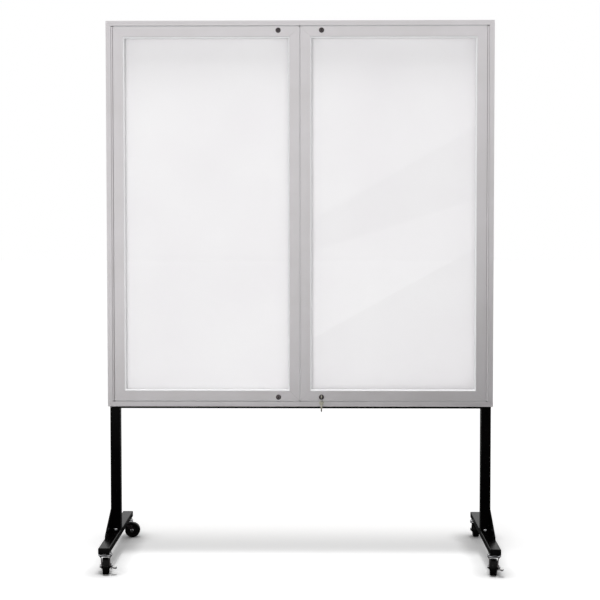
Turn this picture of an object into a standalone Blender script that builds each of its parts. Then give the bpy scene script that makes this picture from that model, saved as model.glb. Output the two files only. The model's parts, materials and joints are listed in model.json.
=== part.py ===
"""A two-door enclosed display board on a rolling stand.

Metres, +Z up, the doors face -Y, and the origin is on the floor under the middle of the feet.
"""

import math

import bmesh
import bpy
from mathutils import Matrix

# Fits
clearance = 0.0003
overrun = 0.002
weld_distance = 0.000001
screw_merge = 0.00001

# Cabinet
board_width = 1.2192
board_height = 1.215
board_bottom = 0.487
cabinet_depth = 0.045
cabinet_face = 0.016
cabinet_wall = 0.002
cabinet_lip = 0.020
cabinet_back_flange = 0.014
face_groove_width = 0.0012
face_groove_depth = 0.0006
edge_chamfer = 0.0006
back_thickness = 0.003
tack_thickness = 0.0095

# Doors
door_face = 0.032
door_depth = 0.020
door_wall = 0.0018
door_gap = 0.0025
meeting_gap = 0.0018
glazing_lip = 0.006
glazing_bite = 0.008
glazing_thickness = 0.003
glazing_side_play = 0.001

# Full-length hinges
hinge_leaf_thickness = 0.001
hinge_leaf_width = 0.014
knuckle_radius = 0.0029
hinge_pin_radius = 0.0015
knuckle_count = 13

# Cam locks
lock_from_middle = 0.068
lock_from_edge = 0.012
lock_flange_radius = 0.0083
lock_flange_height = 0.0022
lock_flange_chamfer = 0.0006
lock_body_radius = 0.0072
lock_nut_radius = 0.0092
lock_nut_thickness = 0.0025
plug_radius = 0.005
plug_recess = 0.0004
keyway_width = 0.0024
keyway_height = 0.0066
keyway_depth = 0.022
cam_thickness = 0.002
cam_width = 0.011
cam_reach = 0.022
cam_tail = 0.002

# Keys
key_thickness = 0.0016
key_blade_height = 0.005
key_blade_length = 0.0205
key_neck = 0.003
key_bow_radius = 0.008
key_hole_radius = 0.0028
key_hole_drop = 0.004
spare_bow_radius = 0.007
spare_hole_rise = 0.0032
spare_blade_length = 0.019
ring_radius = 0.0045
ring_wire_radius = 0.0007
ring_turn = math.radians(45)

# Stand
tube_side = 0.03175
tube_corner = 0.0025
post_wall = 0.0016
post_below_board_top = 0.100
foot_length = 0.508
foot_width = 0.034
foot_height = 0.019
foot_wall = 0.0016
foot_corner = 0.002
support_thickness = 0.006
support_front_inset = 0.006
support_side_inset = 0.0075
support_back_leg = 0.040
gusset_thickness = 0.004
gusset_height = 0.067
gusset_length = 0.120
gusset_toe = 0.008
gusset_flange_length = 0.030

# Foot bolts
foot_bolt_ahead = 0.0115
bolt_radius = 0.004
bolt_head_radius = 0.0078
bolt_head_height = 0.0045
bolt_head_rim = 0.0012
bolt_nut_radius = 0.0075
bolt_nut_thickness = 0.006

# Casters
caster_height = 0.063
caster_inset = 0.030
caster_trail = 0.020
front_toe_in = math.radians(13)
wheel_radius = 0.0254
wheel_width = 0.020
wheel_hub_width = 0.0224
wheel_hub_radius = 0.0095
wheel_rim_inner = 0.0165
wheel_dish = 0.0035
wheel_shoulder = 0.003
axle_radius = 0.003
axle_head_radius = 0.0055
axle_head_thickness = 0.004
fork_leg_thickness = 0.0025
fork_eye_radius = 0.008
fork_leg_front = 0.014
fork_leg_back = 0.011
race_radius = 0.0215
race_chamfer = 0.001
race_height = 0.0052
cup_radius = 0.012
cup_drop = 0.0025
stem_radius = 0.004
stem_into_foot = 0.014
kingpin_radius = 0.0035
rivet_radius = 0.006
rivet_height = 0.0025

# Brake levers
lever_thickness = 0.002
lever_hub_radius = 0.007
lever_arm_drop = 0.005
pedal_start = 0.009
pedal_width = 0.015
pedal_reach = 0.013
pedal_drop = 0.004
pedal_tip_rise = 0.003
pedal_tip_reach = 0.003

# Facets round the turned pieces
fine_steps = 20
coarse_steps = 12
small_steps = 10
bore_steps = 8
corner_steps = 2
arc_steps = 6
sharp_angle = math.radians(35)

# Worked out from the sizes above
board_top = board_bottom + board_height
board_middle_z = board_bottom + board_height / 2
post_front = -tube_side / 2
cabinet_back = post_front - clearance
cabinet_front = cabinet_back - cabinet_depth
foot_bottom = caster_height
foot_top = foot_bottom + foot_height
post_x = (board_width - tube_side) / 2
opening_width = board_width - 2 * cabinet_face
hinge_gap = 2 * (knuckle_radius + clearance)
door_height = board_height - 2 * cabinet_face - 2 * door_gap
door_width = (opening_width - 2 * hinge_gap - meeting_gap) / 2
hinge_x = opening_width / 2 - hinge_gap / 2
hinge_length = door_height
knuckle_pitch = hinge_length / knuckle_count
glazing_groove = glazing_thickness + 2 * clearance
mitre_gap = clearance * math.sqrt(0.5)
fork_inner = wheel_hub_width / 2 + clearance
fork_outer = fork_inner + fork_leg_thickness
fork_top = foot_bottom - clearance - cup_drop - race_height / 2
fork_bottom = fork_top - race_height
bolt_y = post_front - foot_bolt_ahead

# Stands a flat outline up: its width runs along Y, its height along Z and its thickness along X
upright = Matrix(((0, 0, 1, 0), (1, 0, 0, 0), (0, 1, 0, 0), (0, 0, 0, 1)))

colours = {
    "anodised_aluminium": ((0.60, 0.59, 0.60), 0.38, 1.0),
    "white_panel": ((0.86, 0.86, 0.87), 0.85, 0.0),
    "hardboard": ((0.30, 0.20, 0.12), 0.80, 0.0),
    "clear_acrylic": ((0.93, 0.95, 0.96), 0.05, 0.0),
    "chrome": ((0.62, 0.62, 0.64), 0.12, 1.0),
    "zinc_steel": ((0.50, 0.50, 0.51), 0.30, 1.0),
    "black_enamel": ((0.010, 0.010, 0.010), 0.20, 0.0),
    "black_wheel": ((0.018, 0.018, 0.018), 0.45, 0.0),
    "nickel_silver": ((0.52, 0.50, 0.42), 0.28, 1.0),
}


def clear_scene():
    """Empty the file's scene before anything is made."""
    for obj in list(bpy.data.objects):
        bpy.data.objects.remove(obj)


def make_collection(name):
    collection = bpy.data.collections.new(name)
    bpy.context.scene.collection.children.link(collection)
    return collection


def make_material(name):
    """A Principled material from the table of colours."""
    colour, roughness, metallic = colours[name]
    material = bpy.data.materials.new(name)
    material.use_nodes = True
    shader = material.node_tree.nodes["Principled BSDF"]
    shader.inputs["Base Color"].default_value = (*colour, 1)
    shader.inputs["Roughness"].default_value = roughness
    shader.inputs["Metallic"].default_value = metallic
    return material


def shade(mesh):
    """Smooth round faces and keep the edges sharp."""
    mesh.shade_smooth()
    mesh.set_sharp_from_angle(angle=sharp_angle)


def add_object(name, mesh, material, location=(0, 0, 0), turn=(0, 0, 0), parent=None):
    """Link a mesh as a named piece at its place."""
    obj = bpy.data.objects.new(name, mesh)
    if material:
        mesh.materials.append(materials[material])
    obj.location = location
    obj.rotation_euler = turn
    obj.parent = parent
    parts.objects.link(obj)
    return obj


def add_pivot(name, location, turn=(0, 0, 0), parent=None):
    """An empty on a joint's axis, which carries the pieces that move with it."""
    pivot = bpy.data.objects.new(name, None)
    pivot.location = location
    pivot.rotation_euler = turn
    pivot.parent = parent
    parts.objects.link(pivot)
    return pivot


def mesh_from(bm, name):
    bmesh.ops.recalc_face_normals(bm, faces=bm.faces)
    mesh = bpy.data.meshes.new(name)
    bm.to_mesh(mesh)
    bm.free()
    return mesh


def outline_mesh(name, loops, thickness):
    """A flat outline in XY, with any holes as further loops, made thick about Z = 0."""
    curve = bpy.data.curves.new(name, "CURVE")
    curve.dimensions = "2D"
    curve.fill_mode = "BOTH"
    curve.extrude = thickness / 2
    for loop in loops:
        spline = curve.splines.new("POLY")
        spline.points.add(len(loop) - 1)
        for point, (x, y) in zip(spline.points, loop):
            point.co = (x, y, 0, 1)
        spline.use_cyclic_u = True
    guide = bpy.data.objects.new(name, curve)
    parts.objects.link(guide)
    graph = bpy.context.evaluated_depsgraph_get()
    flat = bpy.data.meshes.new_from_object(guide.evaluated_get(graph))
    bpy.data.objects.remove(guide)
    bm = bmesh.new()
    bm.from_mesh(flat)
    bmesh.ops.remove_doubles(bm, verts=bm.verts, dist=weld_distance)
    return mesh_from(bm, name)


def move_mesh(mesh, matrix):
    mesh.transform(matrix)
    return mesh


def boxes_mesh(name, corners):
    """Boxes in one mesh, each between its low and its high corner."""
    bm = bmesh.new()
    for low, high in corners:
        size = [b - a for a, b in zip(low, high)]
        middle = [(a + b) / 2 for a, b in zip(low, high)]
        place = Matrix.Translation(middle) @ Matrix.Diagonal((*size, 1))
        bmesh.ops.create_cube(bm, size=1, matrix=place)
    return mesh_from(bm, name)


def rod_mesh(name, radius, length, steps):
    """A cylinder along Z, centred."""
    bm = bmesh.new()
    bmesh.ops.create_cone(bm, cap_ends=True, segments=steps, radius1=radius, radius2=radius, depth=length)
    return mesh_from(bm, name)


def turned_mesh(name, profile, closed):
    """The half outline (radius, height) of a turned piece, as edges for a Screw modifier."""
    points = [(radius, 0, height) for radius, height in profile]
    edges = [(i, i + 1) for i in range(len(points) - 1)]
    if closed:
        edges.append((len(points) - 1, 0))
    mesh = bpy.data.meshes.new(name)
    mesh.from_pydata(points, edges, [])
    return mesh


def add_screw(obj, steps):
    """Turn the half outline once round its own Z."""
    screw = obj.modifiers.new("turn", "SCREW")
    screw.steps = steps
    screw.render_steps = steps
    screw.use_merge_vertices = True
    screw.merge_threshold = screw_merge
    screw.use_smooth_shade = True
    return obj


def combine(obj, other, operation):
    """Cut another shape from a piece, or join it to the piece."""
    boolean = obj.modifiers.new(other.name, "BOOLEAN")
    boolean.operation = operation
    boolean.object = other
    for collection in list(other.users_collection):
        collection.objects.unlink(other)
    cutters.objects.link(other)
    other.hide_render = True
    other.display_type = "WIRE"


def arc(centre_x, centre_y, radius, start, end, steps):
    """Points along an arc, its angles in radians."""
    angles = [start + (end - start) * i / steps for i in range(steps + 1)]
    return [(centre_x + radius * math.cos(a), centre_y + radius * math.sin(a)) for a in angles]


def ring_points(centre_x, centre_y, radius, steps):
    return arc(centre_x, centre_y, radius, 0, math.tau, steps)[:-1]


def rounded_rectangle(width, height, corner):
    """A rectangle about the origin with round corners."""
    points = []
    for quarter, (side_x, side_y) in enumerate(((1, 1), (-1, 1), (-1, -1), (1, -1))):
        start = quarter * math.pi / 2
        centre_x = side_x * (width / 2 - corner)
        centre_y = side_y * (height / 2 - corner)
        points += arc(centre_x, centre_y, corner, start, start + math.pi / 2, corner_steps)
    return points


def rectangle(left, right, low, high):
    return [(left, low), (right, low), (right, high), (left, high)]


def cabinet_section():
    """The cabinet's extrusion: inward distance from the outer edge, then depth from the front."""
    groove_start = (cabinet_face - face_groove_width) / 2
    groove_end = groove_start + face_groove_width
    inner_lip = cabinet_face - cabinet_wall
    back_inside = cabinet_depth - cabinet_wall
    return [[
        (0, edge_chamfer),
        (edge_chamfer, 0),
        (groove_start, 0),
        (groove_start, face_groove_depth),
        (groove_end, face_groove_depth),
        (groove_end, 0),
        (cabinet_face - edge_chamfer, 0),
        (cabinet_face, edge_chamfer),
        (cabinet_face, cabinet_lip),
        (inner_lip, cabinet_lip),
        (inner_lip, cabinet_wall),
        (cabinet_wall, cabinet_wall),
        (cabinet_wall, back_inside),
        (cabinet_back_flange, back_inside),
        (cabinet_back_flange, cabinet_depth),
        (0, cabinet_depth),
    ]]


def door_section():
    """The doors' hollow extrusion, with the groove that holds the window."""
    groove_bottom = door_face - glazing_bite
    groove_back = glazing_lip + glazing_groove
    outside = [
        (0, edge_chamfer),
        (edge_chamfer, 0),
        (door_face - edge_chamfer, 0),
        (door_face, edge_chamfer),
        (door_face, glazing_lip),
        (groove_bottom, glazing_lip),
        (groove_bottom, groove_back),
        (door_face, groove_back),
        (door_face, door_depth),
        (0, door_depth),
    ]
    hollow = rectangle(door_wall, groove_bottom - door_wall, door_wall, door_depth - door_wall)
    return [outside, hollow]


def mitred_mesh(name, section, length):
    """An extrusion along X with both ends mitred; its outer edge is at Z = 0 and its front at Y = 0."""
    mesh = outline_mesh(name, section, length)
    for vertex in mesh.vertices:
        inward, depth, along = vertex.co
        reach = length / 2 - inward - mitre_gap
        vertex.co = (math.copysign(reach, along), depth, -inward)
    return mesh


def frame_sides(width, height):
    """Side name, length, centre and turn of the four sides of a mitred frame about its middle."""
    return (
        ("top_rail", width, (0, height / 2), 0),
        ("bottom_rail", width, (0, -height / 2), math.pi),
        ("left_stile", height, (-width / 2, 0), -math.pi / 2),
        ("right_stile", height, (width / 2, 0), math.pi / 2),
    )


def build_cabinet():
    """The mitred cabinet frame, its back and the tackable panel."""
    for side, length, (x, z), turn in frame_sides(board_width, board_height):
        name = "cabinet_" + side
        mesh = mitred_mesh(name, cabinet_section(), length)
        place = (x, cabinet_front, board_middle_z + z)
        add_object(name, mesh, "anodised_aluminium", place, (0, turn, 0))
    half_width = board_width / 2 - cabinet_wall - clearance
    low = board_bottom + cabinet_wall + clearance
    high = board_top - cabinet_wall - clearance
    panel_back = cabinet_back - cabinet_wall - clearance
    panel_front = panel_back - back_thickness
    mesh = boxes_mesh("back_panel", [((-half_width, panel_front, low), (half_width, panel_back, high))])
    add_object("back_panel", mesh, "hardboard")
    tack_back = panel_front - clearance
    tack_front = tack_back - tack_thickness
    mesh = boxes_mesh("tack_panel", [((-half_width, tack_front, low), (half_width, tack_back, high))])
    add_object("tack_panel", mesh, "white_panel")


def leaf_outline(side):
    """A hinge leaf in plan about the pin, its plate tangent to the knuckle on one side."""
    plate_inner = knuckle_radius - hinge_leaf_thickness
    meeting = math.acos(plate_inner / knuckle_radius)
    barrel = arc(0, 0, knuckle_radius, math.pi, math.tau + math.pi - meeting, small_steps)
    points = barrel + [(-plate_inner, hinge_leaf_width), (-knuckle_radius, hinge_leaf_width)]
    bore = ring_points(0, 0, hinge_pin_radius + clearance, bore_steps)
    return [[(-side * x, y) for x, y in loop] for loop in (points, bore)]


def cut_knuckles(leaf, first, pivot=None):
    """Clear the stretches of the barrel that belong to the other leaf."""
    notch = knuckle_radius + clearance
    low_end = -hinge_length / 2
    corners = []
    for number in range(first, knuckle_count, 2):
        low = low_end + number * knuckle_pitch - clearance / 2
        high = low_end + (number + 1) * knuckle_pitch + clearance / 2
        if number == 0:
            low -= overrun
        if number == knuckle_count - 1:
            high += overrun
        corners.append(((-notch, -notch, low), (notch, notch, high)))
    cutter = add_object(leaf.name + "_notches", boxes_mesh("notches", corners), None, parent=pivot)
    cutter.location = leaf.location
    combine(leaf, cutter, "DIFFERENCE")


def build_hinge(side_name, side, pivot):
    """One full-length hinge: the fixed leaf, the door's leaf and the pin."""
    place = (side * hinge_x, cabinet_front, board_middle_z)
    mesh = outline_mesh("fixed_leaf", leaf_outline(side), hinge_length)
    fixed = add_object(side_name + "_hinge_fixed_leaf", mesh, "anodised_aluminium", place)
    cut_knuckles(fixed, first=1)
    mesh = outline_mesh("door_leaf", leaf_outline(-side), hinge_length)
    moving = add_object(side_name + "_hinge_door_leaf", mesh, "anodised_aluminium", parent=pivot)
    cut_knuckles(moving, first=0, pivot=pivot)
    mesh = rod_mesh("pin", hinge_pin_radius, hinge_length, small_steps)
    shade(mesh)
    add_object(side_name + "_hinge_pin", mesh, "zinc_steel", place)


def build_door(side_name, side):
    """One glazed door on a pivot at its hinge pin; side is -1 for the left door."""
    pivot = add_pivot(side_name + "_door_pivot", (side * hinge_x, cabinet_front, board_middle_z))
    middle_x = -side * (hinge_gap + door_width) / 2
    for part, length, (x, z), turn in frame_sides(door_width, door_height):
        mesh = mitred_mesh(part, door_section(), length)
        if part.endswith("stile"):
            part = "hinge_stile" if x * side > 0 else "meeting_stile"
        name = f"{side_name}_door_{part}"
        place = (middle_x + x, 0, z)
        piece = add_object(name, mesh, "anodised_aluminium", place, (0, turn, 0), pivot)
        if part.endswith("rail"):
            bore_lock(piece, side, z, pivot)
    bite = glazing_bite - glazing_side_play
    half_width = door_width / 2 - door_face + bite
    half_height = door_height / 2 - door_face + bite
    front = glazing_lip + clearance
    low = (middle_x - half_width, front, -half_height)
    high = (middle_x + half_width, front + glazing_thickness, half_height)
    mesh = boxes_mesh("window", [(low, high)])
    add_object(side_name + "_door_window", mesh, "clear_acrylic", parent=pivot)
    build_hinge(side_name, side, pivot)
    return pivot


def lock_place(side, level):
    """A lock's centre on its door's front, from the door's pivot; level is 1 at the top."""
    return (side * (lock_from_middle - hinge_x), 0, level * (door_height / 2 - lock_from_edge))


def bore_lock(rail, side, rail_z, pivot):
    """The round hole in a door rail that the lock's body passes through."""
    x, _, z = lock_place(side, math.copysign(1, rail_z))
    length = door_depth + 2 * overrun
    mesh = rod_mesh("lock_bore", lock_body_radius + clearance, length, fine_steps)
    place = (x, door_depth / 2, z)
    cutter = add_object(rail.name + "_bore", mesh, None, place, (math.pi / 2, 0, 0), pivot)
    combine(rail, cutter, "DIFFERENCE")


def build_lock(side_name, side, level_name, level, door):
    """A cam lock: the barrel fixed in the door, and the plug with its cam, which turns."""
    suffix = f"{level_name}_{side_name}"
    place = lock_place(side, level)
    forward = (math.pi / 2, 0, 0)
    bore = plug_radius + clearance
    face = clearance + lock_flange_height
    nut_front = -door_depth - clearance
    nut_back = nut_front - lock_nut_thickness
    profile = [
        (bore, face),
        (lock_flange_radius - lock_flange_chamfer, face),
        (lock_flange_radius, face - lock_flange_chamfer),
        (lock_flange_radius, clearance),
        (lock_body_radius, clearance),
        (lock_body_radius, nut_front),
        (lock_nut_radius, nut_front),
        (lock_nut_radius, nut_back),
        (bore, nut_back),
    ]
    mesh = turned_mesh("lock_barrel", profile, closed=True)
    barrel = add_object("lock_barrel_" + suffix, mesh, "chrome", place, forward, door)
    add_screw(barrel, fine_steps)

    pivot = add_pivot("lock_pivot_" + suffix, place, forward, door)
    plug_front = face - plug_recess
    cam_front = nut_back - clearance
    plug_back = cam_front - cam_thickness - cam_tail
    profile = [(0, plug_front), (plug_radius, plug_front), (plug_radius, plug_back), (0, plug_back)]
    mesh = turned_mesh("lock_plug", profile, closed=False)
    plug = add_object("lock_plug_" + suffix, mesh, "chrome", parent=pivot)
    add_screw(plug, coarse_steps)
    tip = arc(cam_reach - cam_width / 2, 0, cam_width / 2, -math.pi / 2, math.pi / 2, arc_steps)
    heel = arc(0, 0, cam_width / 2, math.pi / 2, math.pi * 3 / 2, arc_steps)
    outline = [(side * x, y) for x, y in tip + heel]
    mesh = outline_mesh("cam", [outline], cam_thickness)
    cam = add_object("cam_" + suffix, mesh, None, (0, 0, cam_front - cam_thickness / 2), parent=pivot)
    combine(plug, cam, "UNION")
    low = (-keyway_width / 2, -keyway_height / 2, plug_front - keyway_depth)
    high = (keyway_width / 2, keyway_height / 2, plug_front + overrun)
    slot = add_object("keyway_" + suffix, boxes_mesh("keyway", [(low, high)]), None, parent=pivot)
    combine(plug, slot, "DIFFERENCE")
    return pivot


def key_outline(bow_radius, blade_length, hole_x, hole_y):
    """A key seen flat: the bow about the origin, the blade along +X, and the hole for the ring."""
    half = key_blade_height / 2
    shoulder = math.asin(half / bow_radius)
    reach = bow_radius + key_neck + blade_length
    bow = arc(0, 0, bow_radius, shoulder, math.tau - shoulder, fine_steps)
    blade = [(reach - half, -half), (reach, 0), (reach - half, half)]
    return [bow + blade, ring_points(hole_x, hole_y, key_hole_radius, coarse_steps)]


def build_keys(lock_pivot):
    """The key in the lower right lock, with the spare hanging from a ring through its bow."""
    face = clearance + lock_flange_height - plug_recess
    bow_ahead = face + key_neck + key_bow_radius
    pivot = add_pivot("key_pivot", (0, 0, bow_ahead), parent=lock_pivot)
    # Seen from the side, the blade runs back into the lock and the hole is below the bow's middle.
    outline = key_outline(key_bow_radius, key_blade_length, 0, key_hole_drop)
    mesh = outline_mesh("key", outline, key_thickness)
    add_object("key", mesh, "nickel_silver", turn=(0, math.pi / 2, math.pi), parent=pivot)

    ring_pivot = add_pivot("key_ring_pivot", (0, -key_hole_drop, 0), parent=pivot)
    mesh = ring_mesh()
    place = (0, -ring_radius, 0)
    add_object("key_ring", mesh, "zinc_steel", place, (0, ring_turn, 0), ring_pivot)

    spare_pivot = add_pivot("spare_key_pivot", (0, -2 * ring_radius, 0), parent=ring_pivot)
    outline = key_outline(spare_bow_radius, spare_blade_length, -spare_hole_rise, 0)
    mesh = outline_mesh("spare_key", outline, key_thickness)
    place = (0, -spare_hole_rise, 0)
    add_object("spare_key", mesh, "nickel_silver", place, (0, 0, -math.pi / 2), spare_pivot)


def ring_mesh():
    """A closed ring of wire in its own XY plane."""
    curve = bpy.data.curves.new("ring", "CURVE")
    curve.dimensions = "3D"
    curve.bevel_depth = ring_wire_radius
    curve.bevel_resolution = 1
    spline = curve.splines.new("POLY")
    points = ring_points(0, 0, ring_radius, fine_steps)
    spline.points.add(len(points) - 1)
    for point, (x, y) in zip(spline.points, points):
        point.co = (x, y, 0, 1)
    spline.use_cyclic_u = True
    guide = bpy.data.objects.new("ring", curve)
    parts.objects.link(guide)
    graph = bpy.context.evaluated_depsgraph_get()
    mesh = bpy.data.meshes.new_from_object(guide.evaluated_get(graph))
    bpy.data.objects.remove(guide)
    shade(mesh)
    return mesh


def build_support():
    """The steel angle that carries the cabinet, notched round the posts."""
    top = board_bottom - clearance
    low = top - support_thickness
    front = cabinet_front + support_front_inset
    back = post_front + support_thickness
    leg_front = post_front + clearance
    section = [
        (front, low),
        (back, low),
        (back, board_bottom + support_back_leg),
        (leg_front, board_bottom + support_back_leg),
        (leg_front, top),
        (front, top),
    ]
    length = board_width - 2 * support_side_inset
    mesh = outline_mesh("support_rail", [section], length)
    rail = add_object("support_rail", move_mesh(mesh, upright), "black_enamel")
    post_inner = board_width / 2 - tube_side - clearance
    outer = board_width / 2 + overrun
    high = board_bottom + support_back_leg + overrun
    corners = []
    for low_x, high_x in ((-outer, -post_inner), (post_inner, outer)):
        corners.append(((low_x, post_front - clearance, low - overrun), (high_x, back + overrun, high)))
    cutter = add_object("support_notches", boxes_mesh("notches", corners), None)
    combine(rail, cutter, "DIFFERENCE")


def build_post(side_name, side):
    """A square tube standing on the foot, behind the cabinet."""
    outside = rounded_rectangle(tube_side, tube_side, tube_corner)
    inner_side = tube_side - 2 * post_wall
    hollow = rounded_rectangle(inner_side, inner_side, tube_corner - post_wall)
    low = foot_top + clearance
    high = board_top - post_below_board_top
    mesh = outline_mesh("post", [outside, hollow], high - low)
    place = (side * post_x, 0, (low + high) / 2)
    add_object(side_name + "_post", mesh, "black_enamel", place)


def build_foot(side_name, side):
    """A flat tube from front to back, bored for the caster stems and the gusset's bolt."""
    outside = rounded_rectangle(foot_width, foot_height, foot_corner)
    inner_width = foot_width - 2 * foot_wall
    inner_height = foot_height - 2 * foot_wall
    hollow = rounded_rectangle(inner_width, inner_height, foot_corner - foot_wall)
    mesh = outline_mesh("foot", [outside, hollow], foot_length)
    middle = (side * post_x, 0, foot_bottom + foot_height / 2)
    foot = add_object(side_name + "_foot", mesh, "black_enamel", middle, (math.pi / 2, 0, 0))
    hole_length = 2 * (foot_wall + overrun)
    for end_name, end in (("front", -1), ("rear", 1)):
        mesh = rod_mesh("stem_hole", stem_radius + clearance, hole_length, coarse_steps)
        place = (side * post_x, end * (foot_length / 2 - caster_inset), foot_bottom)
        hole = add_object(f"{side_name}_{end_name}_stem_hole", mesh, None, place)
        combine(foot, hole, "DIFFERENCE")
    mesh = rod_mesh("bolt_hole", bolt_radius + clearance, foot_height + 2 * overrun, coarse_steps)
    place = (side * post_x, bolt_y, foot_bottom + foot_height / 2)
    hole = add_object(side_name + "_foot_bolt_hole", mesh, None, place)
    combine(foot, hole, "DIFFERENCE")


def build_gusset(side_name, side):
    """A bracket: an upright web flush with the post's outer side and a flange under the bolt."""
    low = foot_top + clearance
    back = post_front - clearance
    toe = back - gusset_length
    outline = [
        (back, low),
        (back, low + gusset_height),
        (toe, low + gusset_toe),
        (toe, low),
    ]
    mesh = outline_mesh("gusset", [outline], gusset_thickness)
    place = (side * (board_width - gusset_thickness) / 2, 0, 0)
    gusset = add_object(side_name + "_gusset", move_mesh(mesh, upright), "black_enamel", place)
    outer = side * (board_width - gusset_thickness) / 2
    inner = side * (board_width / 2 - tube_side)
    low_corner = (min(outer, inner), back - gusset_flange_length, low)
    high_corner = (max(outer, inner), back, low + gusset_thickness)
    mesh = boxes_mesh("flange", [(low_corner, high_corner)])
    flange = add_object(side_name + "_gusset_flange", mesh, None)
    combine(gusset, flange, "UNION")
    mesh = rod_mesh("bolt_hole", bolt_radius + clearance, gusset_thickness + 2 * overrun, coarse_steps)
    place = (side * post_x, bolt_y, low + gusset_thickness / 2)
    hole = add_object(side_name + "_gusset_bolt_hole", mesh, None, place)
    combine(gusset, hole, "DIFFERENCE")


def build_foot_bolt(side_name, side):
    """A round-headed bolt through the gusset's flange and the foot, with its nut below."""
    seat = foot_top + gusset_thickness + 2 * clearance
    nut_top = foot_bottom - clearance
    nut_low = nut_top - bolt_nut_thickness
    dome_low = seat + bolt_head_rim
    dome_height = bolt_head_height - bolt_head_rim
    quarter = arc(0, 0, 1, math.pi / 2, 0, arc_steps)
    profile = [(bolt_head_radius * x, dome_low + dome_height * y) for x, y in quarter]
    profile += [
        (bolt_head_radius, seat),
        (bolt_radius, seat),
        (bolt_radius, nut_top),
        (bolt_nut_radius, nut_top),
        (bolt_nut_radius, nut_low),
        (0, nut_low),
    ]
    mesh = turned_mesh("foot_bolt", profile, closed=False)
    bolt = add_object(side_name + "_foot_bolt", mesh, "zinc_steel", (side * post_x, bolt_y, 0))
    add_screw(bolt, coarse_steps)


def tangent_angle(centre, radius, corner, turn):
    """The angle on a circle where a straight edge from a corner outside it touches."""
    away_x = corner[0] - centre[0]
    away_y = corner[1] - centre[1]
    distance = math.hypot(away_x, away_y)
    return math.atan2(away_y, away_x) + turn * math.acos(radius / distance)


def build_fork(name, pivot):
    """The swivel: a race ring on the kingpin and two legs down to the axle."""
    bore = kingpin_radius + clearance
    profile = [
        (bore, fork_top),
        (race_radius - race_chamfer, fork_top),
        (race_radius, fork_top - race_chamfer),
        (race_radius, fork_bottom + race_chamfer),
        (race_radius - race_chamfer, fork_bottom),
        (bore, fork_bottom),
    ]
    mesh = turned_mesh("race", profile, closed=True)
    fork = add_object("caster_fork_" + name, mesh, "zinc_steel", parent=pivot)
    add_screw(fork, fine_steps)
    leg_top = (fork_top + fork_bottom) / 2
    eye = (-caster_trail, wheel_radius)
    front_corner = (-fork_leg_front, leg_top)
    back_corner = (fork_leg_back, leg_top)
    start = tangent_angle(eye, fork_eye_radius, back_corner, -1)
    end = tangent_angle(eye, fork_eye_radius, front_corner, 1) - math.tau
    outline = [front_corner, back_corner] + arc(*eye, fork_eye_radius, start, end, arc_steps)
    hole = ring_points(*eye, axle_radius + clearance, small_steps)
    leg_x = (fork_inner + fork_outer) / 2
    for leg_name, leg_side in (("left", -1), ("right", 1)):
        mesh = move_mesh(outline_mesh("fork_leg", [outline, hole], fork_leg_thickness), upright)
        leg = add_object(f"fork_leg_{leg_name}_{name}", mesh, None, (leg_side * leg_x, 0, 0), parent=pivot)
        combine(fork, leg, "UNION")


def build_stem(name, place):
    """The fixed half of the swivel: the stem in the foot, the upper race and the kingpin."""
    cup_top = foot_bottom - clearance
    race_low = fork_top + clearance
    pin_low = fork_bottom - clearance
    profile = [
        (0, foot_bottom + stem_into_foot),
        (stem_radius, foot_bottom + stem_into_foot),
        (stem_radius, cup_top),
        (cup_radius, cup_top),
        (race_radius, cup_top - cup_drop),
        (race_radius, race_low),
        (kingpin_radius, race_low),
        (kingpin_radius, pin_low),
        (rivet_radius, pin_low),
        (rivet_radius, pin_low - rivet_height),
        (0, pin_low - rivet_height),
    ]
    mesh = turned_mesh("stem", profile, closed=False)
    stem = add_object("caster_stem_" + name, mesh, "zinc_steel", place)
    add_screw(stem, fine_steps)


def build_wheel(name, pivot):
    """A solid wheel with a dished side and a hub."""
    bore = axle_radius + clearance
    half_hub = wheel_hub_width / 2
    half = wheel_width / 2
    web = half - wheel_dish
    side = [
        (bore, half_hub),
        (wheel_hub_radius, half_hub),
        (wheel_hub_radius, web),
        (wheel_rim_inner, web),
        (wheel_rim_inner, half),
        (wheel_radius - wheel_shoulder / 2, half),
        (wheel_radius, half - wheel_shoulder),
    ]
    profile = side + [(radius, -height) for radius, height in reversed(side)]
    mesh = turned_mesh("wheel", profile, closed=True)
    wheel = add_object("caster_wheel_" + name, mesh, "black_wheel", turn=(0, math.pi / 2, 0), parent=pivot)
    add_screw(wheel, fine_steps)


def build_axle(name, pivot, braked):
    """The axle bolt; it is longer on the side that carries a brake lever."""
    seat = fork_outer + clearance
    lever_seat = seat + (lever_thickness + clearance if braked else 0)
    profile = [
        (0, lever_seat + axle_head_thickness),
        (axle_head_radius, lever_seat + axle_head_thickness),
        (axle_head_radius, lever_seat),
        (axle_radius, lever_seat),
        (axle_radius, -seat),
        (axle_head_radius, -seat),
        (axle_head_radius, -seat - axle_head_thickness),
        (0, -seat - axle_head_thickness),
    ]
    mesh = turned_mesh("axle", profile, closed=False)
    axle = add_object("caster_axle_" + name, mesh, "zinc_steel", turn=(0, math.pi / 2, 0), parent=pivot)
    add_screw(axle, small_steps)


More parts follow.
